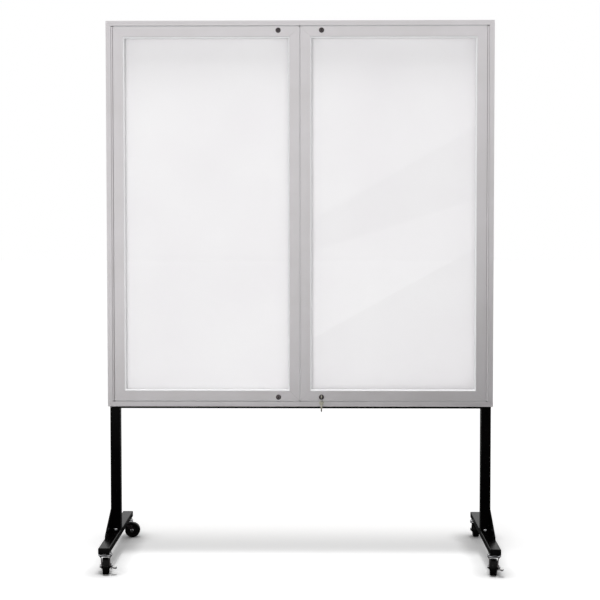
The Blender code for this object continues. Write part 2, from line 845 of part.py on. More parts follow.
def build_lever(name, pivot):
    """A brake lever on the axle: a hub plate beside the fork and a pedal bent outward."""
    inner = fork_outer + clearance
    outer = inner + lever_thickness
    arm_end = -pedal_start - pedal_width
    hub = arc(0, 0, lever_hub_radius, -math.pi / 4, math.pi * 3 / 4, arc_steps)
    outline = hub + [(arm_end, 0), (arm_end, -lever_arm_drop)]
    hole = ring_points(0, 0, axle_radius + clearance, small_steps)
    mesh = move_mesh(outline_mesh("lever", [outline, hole], lever_thickness), upright)
    mesh.transform(Matrix.Translation(((inner + outer) / 2, 0, 0)))
    lever = add_object("brake_lever_" + name, mesh, "zinc_steel", parent=pivot)
    strip_top = [
        (inner + lever_thickness / 2, 0),
        (outer, 0),
        (outer + pedal_reach, -pedal_drop),
        (outer + pedal_reach + pedal_tip_reach, -pedal_drop + pedal_tip_rise),
    ]
    strip = strip_top + [(x, z - lever_thickness) for x, z in reversed(strip_top)]
    mesh = outline_mesh("pedal", [strip], pedal_width)
    mesh.transform(Matrix.Rotation(math.pi / 2, 4, "X"))
    mesh.transform(Matrix.Translation((0, -pedal_start - pedal_width / 2, 0)))
    pedal = add_object("pedal_" + name, mesh, None, parent=pivot)
    combine(lever, pedal, "UNION")


def build_caster(side_name, side, end_name, end, heading, braked):
    """A swivel caster under one end of a foot, its wheel trailing by the heading."""
    name = f"{end_name}_{side_name}"
    place = (side * post_x, end * (foot_length / 2 - caster_inset), 0)
    build_stem(name, place)
    swivel = add_pivot("swivel_" + name, place, (0, 0, heading))
    build_fork(name, swivel)
    axle = add_pivot("axle_pivot_" + name, (0, -caster_trail, wheel_radius), parent=swivel)
    build_wheel(name, axle)
    build_axle(name, axle, braked)
    if braked:
        build_lever(name, axle)


def build():
    build_cabinet()
    build_support()
    sides = (("left", -1), ("right", 1))
    for side_name, side in sides:
        build_post(side_name, side)
        build_foot(side_name, side)
        build_gusset(side_name, side)
        build_foot_bolt(side_name, side)
        door = build_door(side_name, side)
        for level_name, level in (("top", 1), ("bottom", -1)):
            lock_pivot = build_lock(side_name, side, level_name, level, door)
    build_keys(lock_pivot)
    # The trailing directions of the four wheels, as the stand was left.
    build_caster("left", -1, "front", -1, front_toe_in, True)
    build_caster("right", 1, "front", -1, -front_toe_in, True)
    build_caster("left", -1, "rear", 1, math.pi / 2, False)
    build_caster("right", 1, "rear", 1, math.pi, False)


clear_scene()
parts = make_collection("enclosed_display_board")
cutters = make_collection("cutters")
materials = {name: make_material(name) for name in colours}
build()
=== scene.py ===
# %% [markdown]
# # An enclosed display board on a rolling stand
# The object is a silver aluminium cabinet with two glazed doors over a white tackable panel. It hangs
# on a black steel stand with four swivel casters. The CAD model gives every piece its place, so this
# lesson only adds finishes, the fine turned surfaces and the small fittings. Everything is in metres.

import json
import math

import bmesh
import bpy
import numpy as np
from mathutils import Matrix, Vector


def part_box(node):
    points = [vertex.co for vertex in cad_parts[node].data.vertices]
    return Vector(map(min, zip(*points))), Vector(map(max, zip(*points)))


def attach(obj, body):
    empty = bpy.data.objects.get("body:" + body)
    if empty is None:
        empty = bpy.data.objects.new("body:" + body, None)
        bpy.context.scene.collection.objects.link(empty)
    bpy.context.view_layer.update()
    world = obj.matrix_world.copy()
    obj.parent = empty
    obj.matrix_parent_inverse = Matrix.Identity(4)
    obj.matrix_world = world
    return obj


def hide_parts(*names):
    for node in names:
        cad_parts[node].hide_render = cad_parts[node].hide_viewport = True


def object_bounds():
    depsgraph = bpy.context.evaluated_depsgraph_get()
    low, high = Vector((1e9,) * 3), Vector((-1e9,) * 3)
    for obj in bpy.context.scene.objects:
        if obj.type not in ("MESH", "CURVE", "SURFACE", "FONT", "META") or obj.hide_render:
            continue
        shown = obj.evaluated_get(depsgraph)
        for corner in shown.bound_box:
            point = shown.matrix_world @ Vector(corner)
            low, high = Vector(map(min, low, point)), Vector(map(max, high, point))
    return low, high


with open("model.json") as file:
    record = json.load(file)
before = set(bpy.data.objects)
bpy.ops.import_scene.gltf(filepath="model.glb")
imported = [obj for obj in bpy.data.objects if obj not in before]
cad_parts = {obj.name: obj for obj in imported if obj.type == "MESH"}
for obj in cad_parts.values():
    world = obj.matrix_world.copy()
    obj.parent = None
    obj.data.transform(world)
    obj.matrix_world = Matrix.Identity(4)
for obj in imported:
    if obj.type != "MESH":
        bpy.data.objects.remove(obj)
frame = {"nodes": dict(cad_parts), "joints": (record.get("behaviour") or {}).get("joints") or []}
cad_low, cad_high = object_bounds()
nodes = frame["nodes"]
joints = {joint["name"]: joint for joint in frame["joints"]}
hands = ("left", "right")

# %% [markdown]
# ## The camera
# The photograph was taken from a little right of the middle, with the camera held about chest high.
# The horizon crosses the upper half of the picture while the upright edges stay nearly parallel. A
# long lens with a small downward shift gives that view.

# %% Place the camera
def add_object(name, data):
    """Put a mesh, a lamp or the camera into the scene."""
    item = bpy.data.objects.new(name, data)
    bpy.context.scene.collection.objects.link(item)
    return item


board_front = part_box("cabinet_top_rail")[0].y
cabinet_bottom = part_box("cabinet_bottom_rail")[0].z
camera_distance = 4.123
camera_right = 0.0575
camera_height = 1.0791
camera_yaw = math.radians(0.795)
camera_pitch = math.radians(-2.21)
camera_roll = math.radians(0.031)
lens_mm = 78.54
shift_share = -0.05

camera_data = bpy.data.cameras.new("photo_camera")
camera_data.sensor_width = 36
camera_data.lens = lens_mm
camera_data.shift_y = shift_share
camera = add_object("photo_camera", camera_data)
camera.location = (camera_right, board_front - camera_distance, camera_height)
camera.rotation_euler = (math.pi / 2 + camera_pitch, camera_roll, camera_yaw)
bpy.context.scene.camera = camera
bpy.context.scene.view_settings.view_transform = "Standard"
print("camera at", [round(value, 3) for value in camera.location])

# %% [markdown]
# ## Colours and nodes
# Paint colours are easiest to judge as the hex values a picture shows, but shaders work in linear
# light. One function converts them, and one more adds a node with its settings and its links.

# %% Colour and node helpers


def linear(hex_colour):
    """sRGB hex to linear: below 0.04045 a division by 12.92, above it a power of 2.4."""
    values = np.array([int(hex_colour[i:i + 2], 16) for i in (1, 3, 5)]) / 255
    curve = np.where(values <= 0.04045, values / 12.92, ((values + 0.055) / 1.055) ** 2.4)
    return (*curve.tolist(), 1)


def set_inputs(node, inputs):
    """Give each named input a value or a link. A node stands for its first output."""
    for name, value in inputs.items():
        if isinstance(value, bpy.types.Node):
            value = value.outputs[0]
        if isinstance(value, bpy.types.NodeSocket):
            node.id_data.links.new(value, node.inputs[name])
        else:
            node.inputs[name].default_value = value


def add_node(material, kind, inputs=None, **settings):
    """Add one node, set its properties and then its inputs."""
    node = material.node_tree.nodes.new("ShaderNode" + kind)
    for name, value in settings.items():
        setattr(node, name, value)
    set_inputs(node, inputs or {})
    return node


def new_material(name):
    """A material, its Principled shader, and the place on the piece in metres, where patterns start."""
    material = bpy.data.materials.new(name)
    material.use_nodes = True
    place = add_node(material, "TexCoord").outputs["Object"]
    return material, material.node_tree.nodes["Principled BSDF"], place


def ramp_between(material, factor, low_hex, high_hex, low_at=0.0, high_at=1.0):
    """A colour ramp from one hex colour to another over a stretch of the factor."""
    ramp = add_node(material, "ValToRGB", {"Fac": factor})
    first, last = ramp.color_ramp.elements
    first.position, last.position = low_at, high_at
    first.color, last.color = linear(low_hex), linear(high_hex)
    return ramp


print("white is", linear("#ffffff")[0])

# %% [markdown]
# ## Satin anodised aluminium
# The cabinet and the doors are drawn through a die, etched and anodised. The die leaves very fine
# lines along each bar and the etch a silky sheen. A noise stretched along the bar gives both the
# roughness and a faint relief, so rails and stiles need the same finish turned a quarter.

# %% Aluminium finishes
die_line_mm = 0.8  # real lines are about 0.1 mm and would vanish, so they are drawn coarser
line_length_mm = 260.0
bump_depth = 0.0002


def make_anodised(name, along):
    """Noise whose scale is one cycle per line width across the bar and per line length along it."""
    material, shader, place = new_material(name)
    across = 1000 / die_line_mm
    lengthwise = 1000 / line_length_mm
    scale = [across, across, across]
    scale["XYZ".index(along)] = lengthwise
    stretched = add_node(material, "Mapping", {"Vector": place, "Scale": scale})
    lines = add_node(material, "TexNoise", {"Vector": stretched, "Scale": 1.0, "Detail": 3.0})
    cloud = add_node(material, "TexNoise", {"Vector": place, "Scale": 9.0, "Detail": 4.0})
    tone = ramp_between(material, cloud, "#cecbcc", "#d3d0d2", 0.3, 0.7)
    rough = add_node(material, "MapRange", {"Value": lines, "To Min": 0.36, "To Max": 0.46})
    relief = add_node(material, "Bump", {"Height": lines, "Strength": 0.05, "Distance": bump_depth})
    set_inputs(shader, {"Base Color": tone, "Roughness": rough, "Normal": relief, "Metallic": 0.9})
    return material


anodised_rail = make_anodised("satin_anodised_rail", "X")
anodised_stile = make_anodised("satin_anodised_stile", "Z")
print("die lines every", die_line_mm, "mm")

# %% [markdown]
# ## Black stove enamel
# The posts, feet and gussets carry a thick gloss enamel. It is deep black, mirrors whatever is near,
# and has the slight orange peel of sprayed paint, which a small noise bump gives.

# %% Black enamel
orange_peel_mm = 2.5


def make_enamel():
    """A black base whose relief is a noise of one cycle per orange-peel dimple."""
    material, shader, place = new_material("black_stove_enamel")
    peel = add_node(material, "TexNoise", {"Vector": place, "Scale": 1000 / orange_peel_mm, "Detail": 2.0})
    dust = add_node(material, "TexNoise", {"Vector": place, "Scale": 14.0, "Detail": 6.0})
    tone = ramp_between(material, dust, "#010101", "#050404", 0.35, 0.75)
    rough = add_node(material, "MapRange", {"Value": dust, "To Min": 0.14, "To Max": 0.26})
    relief = add_node(material, "Bump", {"Height": peel, "Strength": 0.06, "Distance": bump_depth})
    set_inputs(shader, {"Base Color": tone, "Roughness": rough, "Normal": relief, "IOR": 1.12})
    return material


enamel = make_enamel()
print("orange peel every", orange_peel_mm, "mm")

# %% [markdown]
# ## Bright metals
# The lower races are chromed, the upper ones and the bolts are zinc plated, and the keys are nickel
# silver. Locks, plugs, fork legs and brake levers look dark in the photograph; they get a nickel whose
# dark base colour paints in their shade and the dark reflections they show. The metals
# differ in tint and in how clean the mirror is: chrome is sharp, zinc is milky with fine mottling, and a
# key is worn soft with a warm tint.

# %% Plated metals


def make_plated(name, low_hex, high_hex, mottle_mm, rough_low, rough_high):
    """A metal whose tint and roughness drift with a noise of one cycle per mottle size."""
    material, shader, place = new_material(name)
    mottle = add_node(material, "TexNoise", {"Vector": place, "Scale": 1000 / mottle_mm, "Detail": 5.0})
    tone = ramp_between(material, mottle, low_hex, high_hex, 0.3, 0.7)
    rough = add_node(material, "MapRange", {"Value": mottle, "To Min": rough_low, "To Max": rough_high})
    set_inputs(shader, {"Base Color": tone, "Roughness": rough, "Metallic": 1.0})
    return material


chrome = make_plated("bright_chrome", "#c4c4c8", "#d2d2d6", 6.0, 0.08, 0.16)
zinc = make_plated("bright_zinc_plate", "#b3b3b5", "#c9c9cb", 3.0, 0.12, 0.22)
nickel_silver = make_plated("worn_nickel_silver", "#aeac9a", "#c6c4b4", 2.0, 0.24, 0.38)
steel_pin = make_plated("dark_steel_pin", "#6a6a6c", "#7c7c80", 4.0, 0.30, 0.42)
# A dark base colour for locks, plugs, fork legs and levers: painted shade and painted dark reflections.
painted_shade_nickel = make_plated("nickel_with_painted_shade", "#4c4748", "#5a5556", 4.0, 0.18, 0.28)
print("plated finishes", 5)

# %% [markdown]
# ## Plastics, panel and back
# The wheels are hard moulded polypropylene, the tube caps are softer black polyethylene. The panel is
# soft board under a white woven cover, and its back is a sheet of pressed board, brown with dark flecks.
# The beads round the windows are white vinyl, and the seals between the doors a milky one.

# %% Wheels, caps, seal and boards
weave_mm = 1.6  # threads of a cover cloth are about 0.5 mm, drawn coarser so that they show
fleck_mm = 2.381
board_bump = 0.0003


def make_grained(name, low_hex, high_hex, grain_mm, roughness, strength,
                 depth=bump_depth, detail=3.0, ior=1.2, low_at=0.3, high_at=0.7):
    """A surface whose colour and relief follow a noise of one cycle per grain size."""
    material, shader, place = new_material(name)
    grain = add_node(material, "TexNoise", {"Vector": place, "Scale": 1000 / grain_mm, "Detail": detail})
    tone = ramp_between(material, grain, low_hex, high_hex, low_at, high_at)
    relief = add_node(material, "Bump", {"Height": grain, "Strength": strength, "Distance": depth})
    set_inputs(shader, {"Base Color": tone, "Roughness": roughness, "IOR": ior, "Normal": relief})
    return material


def make_cover_cloth():
    """Two crossed waves of one cycle per thread make the weave's relief on the white cover."""
    material, shader, place = new_material("white_cover_cloth")
    thread_scale = 1000 / weave_mm / 20 * 6.28  # at scale 1 a wave is 6.28 / 20 of a metre long
    warp = add_node(material, "TexWave", {"Vector": place, "Scale": thread_scale}, bands_direction="X")
    weft = add_node(material, "TexWave", {"Vector": place, "Scale": thread_scale}, bands_direction="Z")
    weave = add_node(material, "Math", {0: warp.outputs["Fac"], 1: weft.outputs["Fac"]}, operation="ADD")
    cloud = add_node(material, "TexNoise", {"Vector": place, "Scale": 3.0, "Detail": 5.0})
    tone = ramp_between(material, cloud, "#f5f3f5", "#faf9fa", 0.3, 0.7)
    relief = add_node(material, "Bump", {"Height": weave, "Strength": 0.12, "Distance": board_bump})
    set_inputs(shader, {"Base Color": tone, "Roughness": 0.9, "Normal": relief})
    return material


wheel_plastic = make_grained("moulded_polypropylene", "#030303", "#0a0909", 1.2, 0.36, 0.10)
cap_plastic = make_grained("black_polyethylene", "#030303", "#0a0a0a", 0.9, 0.42, 0.14)
seal_vinyl = make_grained("milky_vinyl", "#d6d7d9", "#e2e3e4", 2.0, 0.45, 0.05)
bead_vinyl = make_grained("white_vinyl", "#e6e6e8", "#eeeeef", 2.0, 0.45, 0.05)
cover_cloth = make_cover_cloth()
hardboard = make_grained(
    "pressed_hardboard", "#8a6a48", "#5e4329", fleck_mm, 0.62, 0.15, board_bump, 6.0, 1.5, 0.45, 0.72)
print("weave and flecks every", weave_mm, "and", fleck_mm, "mm")

# %% [markdown]
# ## Clear acrylic
# Each window is a sheet of cast acrylic. Real light passes straight through it, but a path tracer
# loses light behind a refracting sheet, so rays that only carry shadow or soft light are let through.

# %% Window acrylic
acrylic_ior = 1.49


def make_acrylic():
    """A clear transmitting shader, mixed with a Transparent one for shadow and diffuse rays."""
    material, shader, place = new_material("cast_acrylic")
    haze = add_node(material, "TexNoise", {"Vector": place, "Scale": 2.5, "Detail": 3.0})
    rough = add_node(material, "MapRange", {"Value": haze, "To Min": 0.0, "To Max": 0.02})
    set_inputs(shader, {"Base Color": linear("#fdfdfd"), "Transmission Weight": 1.0, "IOR": acrylic_ior,
                        "Roughness": rough})
    path = add_node(material, "LightPath").outputs
    passing = add_node(
        material, "Math", {0: path["Is Shadow Ray"], 1: path["Is Diffuse Ray"]}, operation="MAXIMUM")
    clear = add_node(material, "BsdfTransparent")
    mixed = add_node(material, "MixShader", {0: passing, 1: shader, 2: clear})
    set_inputs(material.node_tree.nodes["Material Output"], {"Surface": mixed})
    return material


acrylic = make_acrylic()
print("acrylic IOR", acrylic_ior)

# %% [markdown]
# ## Finishes on the CAD pieces
# The bars, tubes and sheets already have their true shapes, so each keeps its CAD mesh and only gets
# its finish. Rails run along X and stiles along Z, which decides the direction of the die lines.

# %% Dress the CAD nodes
# Plugs take the nickel whose dark base colour is painted shade.
finishes = (
    ("window", acrylic), ("hinge_pin", steel_pin), ("stile", anodised_stile), ("leaf", anodised_stile),
    ("support", enamel), ("post", enamel), ("gusset", enamel), ("foot_bolt", zinc), ("foot", enamel),
    ("rail", anodised_rail), ("tack", cover_cloth), ("back_panel", hardboard), ("plug", painted_shade_nickel),
    ("lock", chrome), ("wheel", wheel_plastic), ("ring", zinc), ("key", nickel_silver))


def finish_of(name):
    """The finish of the first word that is in the node's name, and zinc where there is none."""
    return next((finish for word, finish in finishes if word in name), zinc)


for name, node in nodes.items():
    node.data.materials.clear()
    node.data.materials.append(finish_of(name))
print("dressed", len(nodes), "nodes")

# %% [markdown]
# ## Turned surfaces
# Wheels, races, locks and bolts are all bodies of revolution. A half outline of radius and height is
# carried round an axis: point (r, h) at angle a lands at r cos a, r sin a and h. Whole arrays hold the
# grid of points, and the quads join each point to its neighbours in both directions.


# %% Lathe helpers
def grid_quads(rows, columns, wrap_rows):
    """Quads of a grid whose columns close in a ring, and whose rows may close too."""
    row, column = np.meshgrid(np.arange(rows if wrap_rows else rows - 1), np.arange(columns), indexing="ij")
    next_row = (row + 1) % rows
    next_column = (column + 1) % columns
    corners = (row * columns + column, row * columns + next_column,
               next_row * columns + next_column, next_row * columns + column)
    return np.stack([corner.ravel() for corner in corners], axis=1)


def axis_frame(axis):
    """Three unit directions, the last along the axis, as the rows of a matrix."""
    along = np.array(axis, float) / np.linalg.norm(axis)
    helper = np.array([0.0, 0.0, 1.0]) if abs(along[2]) < 0.9 else np.array([1.0, 0.0, 0.0])
    across = np.cross(helper, along)
    across /= np.linalg.norm(across)
    return np.array([across, np.cross(along, across), along])


def circle(radius, turn):
    """Points r cos a and r sin a for an array of angles."""
    return radius * np.stack([np.cos(turn), np.sin(turn)], axis=-1)


def turned_points(profile, steps, centre, axis):
    """Each profile point (radius, height) goes round: centre + r cos a X + r sin a Y + height Z."""
    radius, height = np.array(profile, float).T
    angle = np.linspace(0, math.tau, steps, endpoint=False)
    local = np.stack([np.outer(radius, np.cos(angle)), np.outer(radius, np.sin(angle)),
                      np.repeat(height[:, None], steps, axis=1)], axis=-1)
    return local.reshape(-1, 3) @ axis_frame(axis) + np.array(centre, float)


def make_piece(name, points, faces, material, body, sharp_degrees=35):
    """Put arrays into a mesh, close its seams and poles, face it outwards and let it ride."""
    mesh = bpy.data.meshes.new(name)
    mesh.from_pydata(np.asarray(points).tolist(), [], [list(face) for face in faces])
    work = bmesh.new()
    work.from_mesh(mesh)
    bmesh.ops.remove_doubles(work, verts=work.verts, dist=1e-6)
    bmesh.ops.recalc_face_normals(work, faces=work.faces)
    work.to_mesh(mesh)
    work.free()
    mesh.shade_smooth()
    mesh.set_sharp_from_angle(angle=math.radians(sharp_degrees))
    mesh.materials.append(material)
    piece = add_object(name, mesh)
    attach(piece, body)
    return piece


def rounded_profile(corners, radii, steps=4):
    """Replace each corner of a half outline by an arc: a quadratic blend from side to side."""
    points = np.array(corners, float)
    out = []
    for i, (corner, radius) in enumerate(zip(points, radii)):
        if radius == 0:
            out.append(corner[None])
            continue
        before = points[i - 1] - corner
        after = points[(i + 1) % len(points)] - corner
        start = corner + before / np.linalg.norm(before) * radius
        end = corner + after / np.linalg.norm(after) * radius
        t = np.linspace(0, 1, steps + 1)[:, None]
        out.append((1 - t) ** 2 * start + 2 * t * (1 - t) * corner + t ** 2 * end)
    return np.concatenate(out)


def turned_piece(name, profile, closed, centre, axis, material, body, steps=64):
    """A body of revolution; a closed profile makes a ring and an open one ends on the axis."""
    points = turned_points(profile, steps, centre, axis)
    faces = grid_quads(len(profile), steps, closed)
    return make_piece(name, points, faces, material, body)


print("a 64-step ring of 10 points has", len(grid_quads(10, 64, False)), "quads")

# %% [markdown]
# ## Caster wheels
# Each wheel is a two-inch moulding: a tread with round shoulders, a dished side with a rim and a hub.
# The CAD wheel has twenty flat sides; this one repeats its outline with sixty-four and soft edges.

# %% Wheels
wheel_round = 0.0025
ends = ("front_left", "front_right", "rear_left", "rear_right")
square_low, square_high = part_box("caster_wheel_rear_right")  # the one wheel that stands square
half_hub = (square_high.x - square_low.x) / 2
half_wheel = half_hub - 0.0012
wheel_radius = (square_high.z - square_low.z) / 2


def wheel_profile(radius, half_width, half_hub):
    """Half the outline from the bore to the tread, then its mirror image."""
    bore = 0.0033
    hub, rim = 0.0095, 0.0195
    web = half_width - 0.0035
    slope, shoulder = 0.0008, 0.0042
    side = [(bore, half_hub), (hub, half_hub), (hub + slope, web), (rim, web), (rim + slope, half_width),
            (radius - slope, half_width - slope / 2), (radius, half_width - shoulder)]
    radii = [0, 0.0008, 0.0006, 0.0006, 0.0007, wheel_round * 0.7, wheel_round * 0.8]
    corners = side + [(r, -h) for r, h in reversed(side)]
    return rounded_profile(corners, radii + radii[::-1])


for end in ends:
    name = "caster_wheel_" + end
    low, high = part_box(name)
    centre = (low + high) / 2
    axis = joints["wheel_spin_" + end]["axis"]
    profile = wheel_profile(wheel_radius, half_wheel, half_hub)
    wheel = turned_piece(
        "fine_wheel_" + end, profile, True, centre, axis, wheel_plastic, "wheel_" + end)
    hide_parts(name)
print("wheel radius and width mm", round(wheel_radius * 1000, 2), round(half_hub * 2000, 2))

# %% [markdown]
# ## Swivel races
# A caster's swivel is two pressed cups with a row of balls between them. The upper cup and its stem
# stay with the foot. The lower one is the top of the fork and turns with it. Both are plated and have
# rolled rims, so the light breaks into two bright bands with a dark seam.

# %% Stems and upper races
for end in ends:
    name = "caster_stem_" + end
    low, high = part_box(name)
    x, y = (low.x + high.x) / 2, (low.y + high.y) / 2
    race = (high.x - low.x) / 2
    foot_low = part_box(end.split("_")[1] + "_foot")[0].z
    fork_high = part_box("caster_fork_" + end)[1].z
    top = foot_low - 0.0003
    seat = fork_high + 0.0003
    corners = [(0, high.z), (0.004, high.z), (0.004, top), (0.012, top), (race, top - 0.0016), (race, seat),
               (0.0035, seat), (0.0035, low.z + 0.0025), (0.006, low.z + 0.0025), (0.006, low.z), (0, low.z)]
    radii = [0, 0.0006, 0, 0.0008, 0.0011, 0.0005, 0, 0, 0.0006, 0.0008, 0]
    profile = rounded_profile(corners, radii)
    stem = turned_piece("fine_stem_" + end, profile, False, (x, y, 0), (0, 0, 1), zinc, "stand")
    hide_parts(name)
print("race radius mm", round(race * 1000, 2))

# %% [markdown]
# ## Lofted surfaces
# Pressed legs, pedals, caps, seals and weld beads are closed loops of points, each joined to the next
# along the piece. The first and the last loop are filled, unless the loops themselves close in a ring.

# %% Loft helpers


def lofted_piece(name, loops, material, body, ring=False, sharp_degrees=35):
    """Loops as an array of rows, points and coordinates; quads join point j of loop i to loop i + 1."""
    rows, columns = loops.shape[:2]
    faces = grid_quads(rows, columns, ring).tolist()
    if not ring:
        faces += [list(range(columns)), list(range((rows - 1) * columns, rows * columns))]
    return make_piece(name, loops.reshape(-1, 3), faces, material, body, sharp_degrees)


def ease(t):
    """Zero to one with flat ends: three t squared minus two t cubed."""
    t = np.clip(t, 0, 1)
    return t * t * (3 - 2 * t)


def rounded_loop(width, height, corner, steps=5):
    """A rectangle about the origin with quarter circles of the corner radius, as (x, y) points."""
    angle = np.linspace(0, math.pi / 2, steps + 1)
    quarters = [angle + quarter * math.pi / 2 for quarter in range(4)]
    sides = [(1, 1), (-1, 1), (-1, -1), (1, -1)]
    return np.concatenate([
        np.stack([side_x * (width / 2 - corner) + corner * np.cos(turn),
                  side_y * (height / 2 - corner) + corner * np.sin(turn)], axis=1)
        for turn, (side_x, side_y) in zip(quarters, sides)])


print("a rounded loop has", len(rounded_loop(2, 1, 0.2)), "points")

# %% [markdown]
# ## Caster forks
# The yoke is pressed from one sheet: a flat race, shoulders that flare in from it, and two legs that
# taper to the axle. Each leg is lofted from level cuts. The race keeps its rolled rim from a lathe.

# %% Forks
upward = np.array([0, 0, 1.0])
leg_thickness = 0.0025
fork_play = 0.0003
eye_radius = 0.008
shoulder_height = 0.0115
race_play = 0.0012
race_thickness = 0.0052
leg_front, leg_back = 0.014, 0.011
least_half = 0.004
eye_start = 0.4  # the straight edges meet the eye this share of its radius above the axle


def caster_frame(end):
    """The swivel's centre, the axle's direction, the trail direction, and the axle's trail and height."""
    stem_low, stem_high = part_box("caster_stem_" + end)
    wheel_low, wheel_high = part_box("caster_wheel_" + end)
    swivel = np.array([(stem_low.x + stem_high.x) / 2, (stem_low.y + stem_high.y) / 2, 0])
    axle = np.array((wheel_low + wheel_high) / 2)
    axis = np.array(joints["wheel_spin_" + end]["axis"], float)
    trail = (axle - swivel) * (1, 1, 0)
    reach = np.linalg.norm(trail)
    return swivel, axis / np.linalg.norm(axis), trail / reach, reach, axle[2]


def leg_loops(swivel, axis, trail, reach, eye_z, side, top):
    """Level cuts of one leg, from the race down to the bottom of its eye.

    Its two edges run straight to the eye, whose cuts are the chords of a circle. The shoulder's
    offset from the wheel eases out to the race, and the chord of the race limits its width.
    """
    eye_top = eye_z + eye_radius * eye_start
    height = np.concatenate([np.linspace(top, eye_top, 18),
                             eye_z + eye_radius * np.cos(np.linspace(math.acos(eye_start), math.pi, 12))[1:]])
    flat = half_hub + fork_play + leg_thickness / 2
    flare = ease((height - top + shoulder_height) / shoulder_height)
    offset = flat + (race - leg_thickness / 2 - race_play - flat) * flare ** 2
    straight = np.clip((top - height) / (top - eye_top), 0, 1)
    eye_half = eye_radius * math.sqrt(1 - eye_start ** 2)
    front = leg_front + (reach + eye_half - leg_front) * straight
    back = -leg_back + (reach - eye_half + leg_back) * straight
    in_eye = height < eye_top
    chord = np.sqrt(np.maximum(eye_radius ** 2 - (height - eye_z) ** 2, 0))
    front = np.where(in_eye, reach + chord, front)
    back = np.where(in_eye, reach - chord, back)
    limit = np.sqrt(np.maximum(race ** 2 - (offset + leg_thickness / 2) ** 2, 0))
    near_race = height > top - shoulder_height
    limit = np.maximum(limit, least_half)
    front = np.where(near_race, np.minimum(front, limit), front)
    back = np.where(near_race, np.maximum(back, -limit), back)
    across = np.linspace(0, 1, 9)
    level = back[:, None] + (front - back)[:, None] * across
    outer = np.repeat((offset + leg_thickness / 2)[:, None], 9, axis=1)
    inner = outer - leg_thickness
    along = np.concatenate([level, level[:, ::-1]], axis=1)
    away = np.concatenate([outer, inner], axis=1) * side
    return swivel + along[..., None] * trail + away[..., None] * axis + height[:, None, None] * upward


for end in ends:
    swivel, axis, trail, reach, eye_z = caster_frame(end)
    race_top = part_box("caster_fork_" + end)[1].z
    corners = [(0.0038, race_top), (race, race_top), (race, race_top - race_thickness),
               (0.0038, race_top - race_thickness)]
    profile = rounded_profile(corners, [0, 0.0022, 0.0022, 0], 6)
    body = "swivel_" + end
    ring = turned_piece("fine_race_" + end, profile, True, swivel, (0, 0, 1), chrome, body)
    pieces = [ring]
    for part, side in (("near", -1), ("far", 1)):
        loops = leg_loops(swivel, axis, trail, reach, eye_z, side, race_top - race_thickness / 2)
        # The legs get a dark base colour: painted shade and painted dark reflections.
        pieces.append(lofted_piece(f"fine_leg_{part}_{end}", loops, painted_shade_nickel, body))
    for piece in pieces:
        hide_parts("caster_fork_" + end)
print("leg offset mm", round((half_hub + fork_play) * 1000, 2))

# %% [markdown]
# ## Axle bolts and brake levers
# Each axle is a bolt with a domed head and a lock nut. On the front casters its longer side carries a
# thin stamped lever: an eye, an arm along the wheel, and a pedal bent outward with a turned-up lip.

# %% Axles
axle_radius = 0.003
head_radius = 0.0055
head_height = 0.004
head_rim = 0.0012
nut_half, nut_collar, nut_height = 0.0052, 0.0044, 0.0038
lever_thickness = 0.002
leg_outside = half_hub + fork_play + leg_thickness


def axle_profile(far_seat, near_seat):
    """A dome: its height falls with the square root of one minus radius squared; then shank and nut."""
    angle = np.linspace(0, math.pi / 2, 8)
    nut_end = near_seat + nut_height
    crown = far_seat + head_rim + (head_height - head_rim) * np.cos(angle)
    dome = np.stack([head_radius * np.sin(angle), crown], axis=1)
    rest = np.array([(head_radius, far_seat), (axle_radius, far_seat), (axle_radius, -near_seat),
                     (nut_half, -near_seat), (nut_half, 0.0010 - nut_end), (nut_collar, 0.0004 - nut_end),
                     (nut_collar, -nut_end), (0, -nut_end)])
    return np.concatenate([dome, rest])


for end in ends:
    swivel, axis, trail, reach, eye_z = caster_frame(end)
    centre = swivel + trail * reach + eye_z * upward
    seat = leg_outside + fork_play
    far_seat = seat + (lever_thickness + fork_play if "front" in end else 0)
    bolt = turned_piece("fine_axle_" + end, axle_profile(far_seat, seat), False, centre, axis, zinc,
                        "swivel_" + end, 24)
    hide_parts("caster_axle_" + end)
print("axle head mm across", head_radius * 2000)

# %% [markdown]
# ## Brake levers
# A lever is stamped from one strip. Its flat arm is an outline carried through the strip's thickness,
# with edges rolled slightly inward. The pedal is a rounded section carried along a path that runs
# outward, sinks a little and turns up into a lip for the shoe.

# %% Brake levers
pedal_across = 0.0165
arm_edge = 0.0003
eye_outside = 0.0068


def lever_loops(section, path):
    """A flat strip section (across, thick) carried along a path of (across, out, up, lean) stations."""
    out = []
    for across_shift, away, up, lean in path:
        across, thick = section.T
        out.append(np.stack([
            across + across_shift, away - thick * math.sin(lean), up + thick * math.cos(lean)], axis=1))
    return np.array(out)


